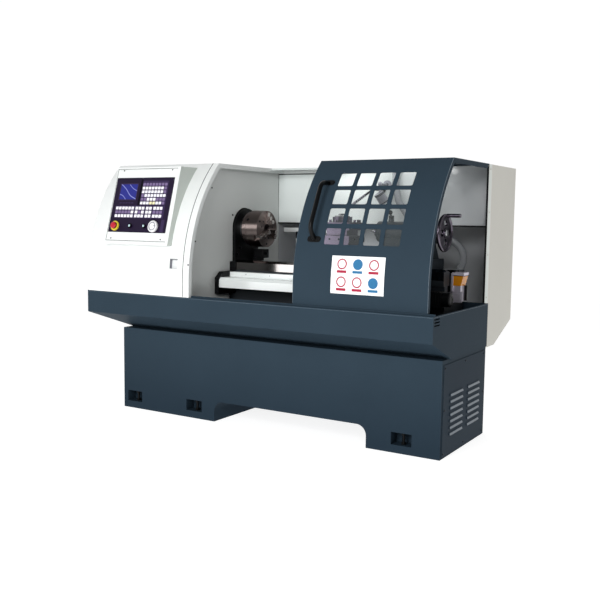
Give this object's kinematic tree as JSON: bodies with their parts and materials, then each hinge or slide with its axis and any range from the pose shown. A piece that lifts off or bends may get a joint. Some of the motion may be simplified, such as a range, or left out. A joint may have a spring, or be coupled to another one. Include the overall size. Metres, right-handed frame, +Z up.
{
  "type": "numerically controlled lathe",
  "caption": "Flat-bed turning lathe in a curved sheet-metal enclosure with a sliding windowed door, control panel, chip tray and stand; turns round stock.",
  "frame": {"origin": "centre of the machine's footprint box, at floor level", "axes": "+X along the spindle towards the tailstock, +Y to the back, +Z up"},
  "size_m": [2.4043, 1.4522, 1.6],
  "materials": {
    "slate_paint": "satin",
    "white_paint": "gloss",
    "grey_paint": "satin",
    "cream_paint": "satin",
    "black_casting": "satin",
    "bed_iron": "satin",
    "bright_steel": "satin",
    "tool_steel": "satin",
    "panel_film": "matte",
    "screen_glass": "gloss",
    "red_plastic": "gloss",
    "white_plastic": "gloss",
    "black_plastic": "gloss",
    "window_glass": "gloss",
    "amber_plastic": "gloss",
    "motor_alloy": "satin",
    "belt_rubber": "matte",
    "grey_hose": "matte"
  },
  "bodies": {
    "machine": {"stand": "slate_paint", "stand_end_cover": "slate_paint", "levelling_bolts": "black_casting", "chip_tray": "slate_paint", "headstock_cover": "white_paint", "bulkhead": "grey_paint", "control_box": "white_paint", "control_panel": "panel_film", "display_screen": "screen_glass", "rear_guard": "cream_paint", "electrical_cabinet": "cream_paint", "bed": "bed_iron", "headstock": "black_casting", "spindle_bearings": "bright_steel", "main_motor": "motor_alloy", "drive_belt": "belt_rubber", "screw_guard": "white_paint", "screw_bearing_block": "black_casting", "z_motor_bracket": "black_casting", "z_servo_motor": "black_plastic", "lubricator": "motor_alloy", "oil_reservoir": "amber_plastic", "conduit": "grey_hose", "work_lamp": "black_plastic", "coolant_pipe": "black_plastic"},
    "end_door": {"end_door": "white_paint"},
    "cabinet_door": {"cabinet_door": "cream_paint"},
    "door": {"door": "slate_paint", "window_pane": "window_glass", "door_handle": "black_plastic"},
    "estop": {"estop_button": "red_plastic"},
    "start_key": {"start_button": "white_plastic"},
    "hold_key": {"hold_button": "white_plastic"},
    "jog_dial": {"jog_dial": "white_plastic"},
    "spindle": {"spindle": "bright_steel", "spindle_pulley": "motor_alloy", "chuck_back_plate": "tool_steel", "chuck_body": "tool_steel"},
    "scroll": {"scroll_plate": "tool_steel"},
    "jaw_1": {"chuck_jaw_1": "tool_steel"},
    "jaw_2": {"chuck_jaw_2": "tool_steel"},
    "jaw_3": {"chuck_jaw_3": "tool_steel"},
    "pinion_1": {"chuck_pinion_1": "tool_steel"},
    "pinion_2": {"chuck_pinion_2": "tool_steel"},
    "pinion_3": {"chuck_pinion_3": "tool_steel"},
    "motor_pulley": {"motor_pulley": "motor_alloy"},
    "z_screw": {"z_ballscrew": "bright_steel"},
    "carriage": {"carriage": "bed_iron", "x_servo_motor": "black_plastic"},
    "x_screw": {"x_ballscrew": "bright_steel"},
    "cross_slide": {"cross_slide": "tool_steel", "turret_base": "tool_steel"},
    "turret": {"turret_head": "tool_steel"},
    "tailstock": {"tailstock": "slate_paint"},
    "quill": {"quill": "bright_steel", "dead_centre": "bright_steel"},
    "tail_wheel": {"tailstock_handwheel": "bright_steel", "quill_screw": "bright_steel"},
    "wheel_peg": {"handwheel_peg": "black_plastic"},
    "quill_lever": {"quill_clamp_lever": "black_plastic"}
  },
  "joints": [
    {"name": "door_slide", "type": "slide", "parent": "machine", "child": "door", "axis": [1, 0, 0], "range_m": [-0.7, 0]},
    {"name": "end_door_hinge", "type": "hinge", "parent": "machine", "child": "end_door", "pos_m": [-1.1973, 0.315, 1.02], "axis": [0, 0, 1], "range_deg": [-110, 0]},
    {"name": "cabinet_door_hinge", "type": "hinge", "parent": "machine", "child": "cabinet_door", "pos_m": [-1.166, 0.7157, 0.8], "axis": [0, 0, 1], "range_deg": [0, 110]},
    {"name": "estop_press", "type": "slide", "parent": "machine", "child": "estop", "axis": [0, 0.9632, -0.2689], "range_m": [0, 0.004], "stiffness_N_per_m": 2500},
    {"name": "start_press", "type": "slide", "parent": "machine", "child": "start_key", "axis": [0, 0.9632, -0.2689], "range_m": [0, 0.003], "stiffness_N_per_m": 1500},
    {"name": "hold_press", "type": "slide", "parent": "machine", "child": "hold_key", "axis": [0, 0.9632, -0.2689], "range_m": [0, 0.003], "stiffness_N_per_m": 1500},
    {"name": "jog_turn", "type": "hinge", "parent": "machine", "child": "jog_dial", "pos_m": [-0.645, -0.69054, 1.20469], "axis": [0, -0.9632, 0.2689], "continuous": true},
    {"name": "spindle_spin", "type": "hinge", "parent": "machine", "child": "spindle", "pos_m": [-0.7, -0.062, 1.195], "axis": [1, 0, 0], "continuous": true},
    {"name": "motor_spin", "type": "hinge", "parent": "machine", "child": "motor_pulley", "pos_m": [-1, 0.223, 1.11], "axis": [1, 0, 0], "continuous": true},
    {"name": "scroll_turn", "type": "hinge", "parent": "spindle", "child": "scroll", "pos_m": [-0.28, -0.062, 1.195], "axis": [1, 0, 0], "range_deg": [-360, 900]},
    {"name": "jaw_1_slide", "type": "slide", "parent": "spindle", "child": "jaw_1", "axis": [0, -0.8746, -0.4848], "range_m": [-0.01, 0.025]},
    {"name": "pinion_1_turn", "type": "hinge", "parent": "spindle", "child": "pinion_1", "pos_m": [-0.313, -0.062, 1.195], "axis": [0, -0.0175, -0.9998], "range_deg": [-1440, 3600]},
    {"name": "jaw_2_slide", "type": "slide", "parent": "spindle", "child": "jaw_2", "axis": [0, 0.8572, -0.515], "range_m": [-0.01, 0.025]},
    {"name": "pinion_2_turn", "type": "hinge", "parent": "spindle", "child": "pinion_2", "pos_m": [-0.313, -0.062, 1.195], "axis": [0, 0.8746, 0.4848], "range_deg": [-1440, 3600]},
    {"name": "jaw_3_slide", "type": "slide", "parent": "spindle", "child": "jaw_3", "axis": [0, 0.0175, 0.9998], "range_m": [-0.01, 0.025]},
    {"name": "pinion_3_turn", "type": "hinge", "parent": "spindle", "child": "pinion_3", "pos_m": [-0.313, -0.062, 1.195], "axis": [0, -0.8572, 0.515], "range_deg": [-1440, 3600]},
    {"name": "z_screw_turn", "type": "hinge", "parent": "machine", "child": "z_screw", "pos_m": [0, -0.272, 0.832], "axis": [1, 0, 0], "range_deg": [-15840, 0]},
    {"name": "carriage_slide", "type": "slide", "parent": "machine", "child": "carriage", "axis": [1, 0, 0], "range_m": [-0.44, 0]},
    {"name": "x_screw_turn", "type": "hinge", "parent": "carriage", "child": "x_screw", "pos_m": [0.42, 0, 1.026], "axis": [0, 1, 0], "range_deg": [-7920, 1440]},
    {"name": "cross_slide_move", "type": "slide", "parent": "carriage", "child": "cross_slide", "axis": [0, 1, 0], "range_m": [-0.11, 0.02]},
    {"name": "turret_index", "type": "hinge", "parent": "cross_slide", "child": "turret", "pos_m": [0.42, -0.237, 1.2], "axis": [0, 0, 1], "continuous": true},
    {"name": "tailstock_slide", "type": "slide", "parent": "machine", "child": "tailstock", "axis": [1, 0, 0], "range_m": [-0.01, 0.12]},
    {"name": "tail_wheel_turn", "type": "hinge", "parent": "tailstock", "child": "tail_wheel", "pos_m": [0.9, -0.062, 1.195], "axis": [1, 0, 0], "range_deg": [0, 2880]},
    {"name": "quill_feed", "type": "slide", "parent": "tailstock", "child": "quill", "axis": [-1, 0, 0], "range_m": [0, 0.04]},
    {"name": "wheel_peg_spin", "type": "hinge", "parent": "tail_wheel", "child": "wheel_peg", "pos_m": [1.04, -0.062, 1.295], "axis": [1, 0, 0], "continuous": true},
    {"name": "quill_lever_turn", "type": "hinge", "parent": "tailstock", "child": "quill_lever", "pos_m": [0.655, -0.062, 1.25], "axis": [0, 0, 1], "range_deg": [-40, 40]}
  ],
  "couplings": [
    {"joint": "motor_spin", "follows": "spindle_spin", "ratio": 1.5714},
    {"joint": "jaw_1_slide", "follows": "scroll_turn", "m_per_rad": 0.0015915},
    {"joint": "pinion_1_turn", "follows": "scroll_turn", "ratio": 4},
    {"joint": "jaw_2_slide", "follows": "scroll_turn", "m_per_rad": 0.0015915},
    {"joint": "pinion_2_turn", "follows": "scroll_turn", "ratio": 4},
    {"joint": "jaw_3_slide", "follows": "scroll_turn", "m_per_rad": 0.0015915},
    {"joint": "pinion_3_turn", "follows": "scroll_turn", "ratio": 4},
    {"joint": "z_screw_turn", "follows": "carriage_slide", "rad_per_m": 628.32},
    {"joint": "x_screw_turn", "follows": "cross_slide_move", "rad_per_m": 1256.6},
    {"joint": "quill_feed", "follows": "tail_wheel_turn", "m_per_rad": 0.00079577}
  ]
}
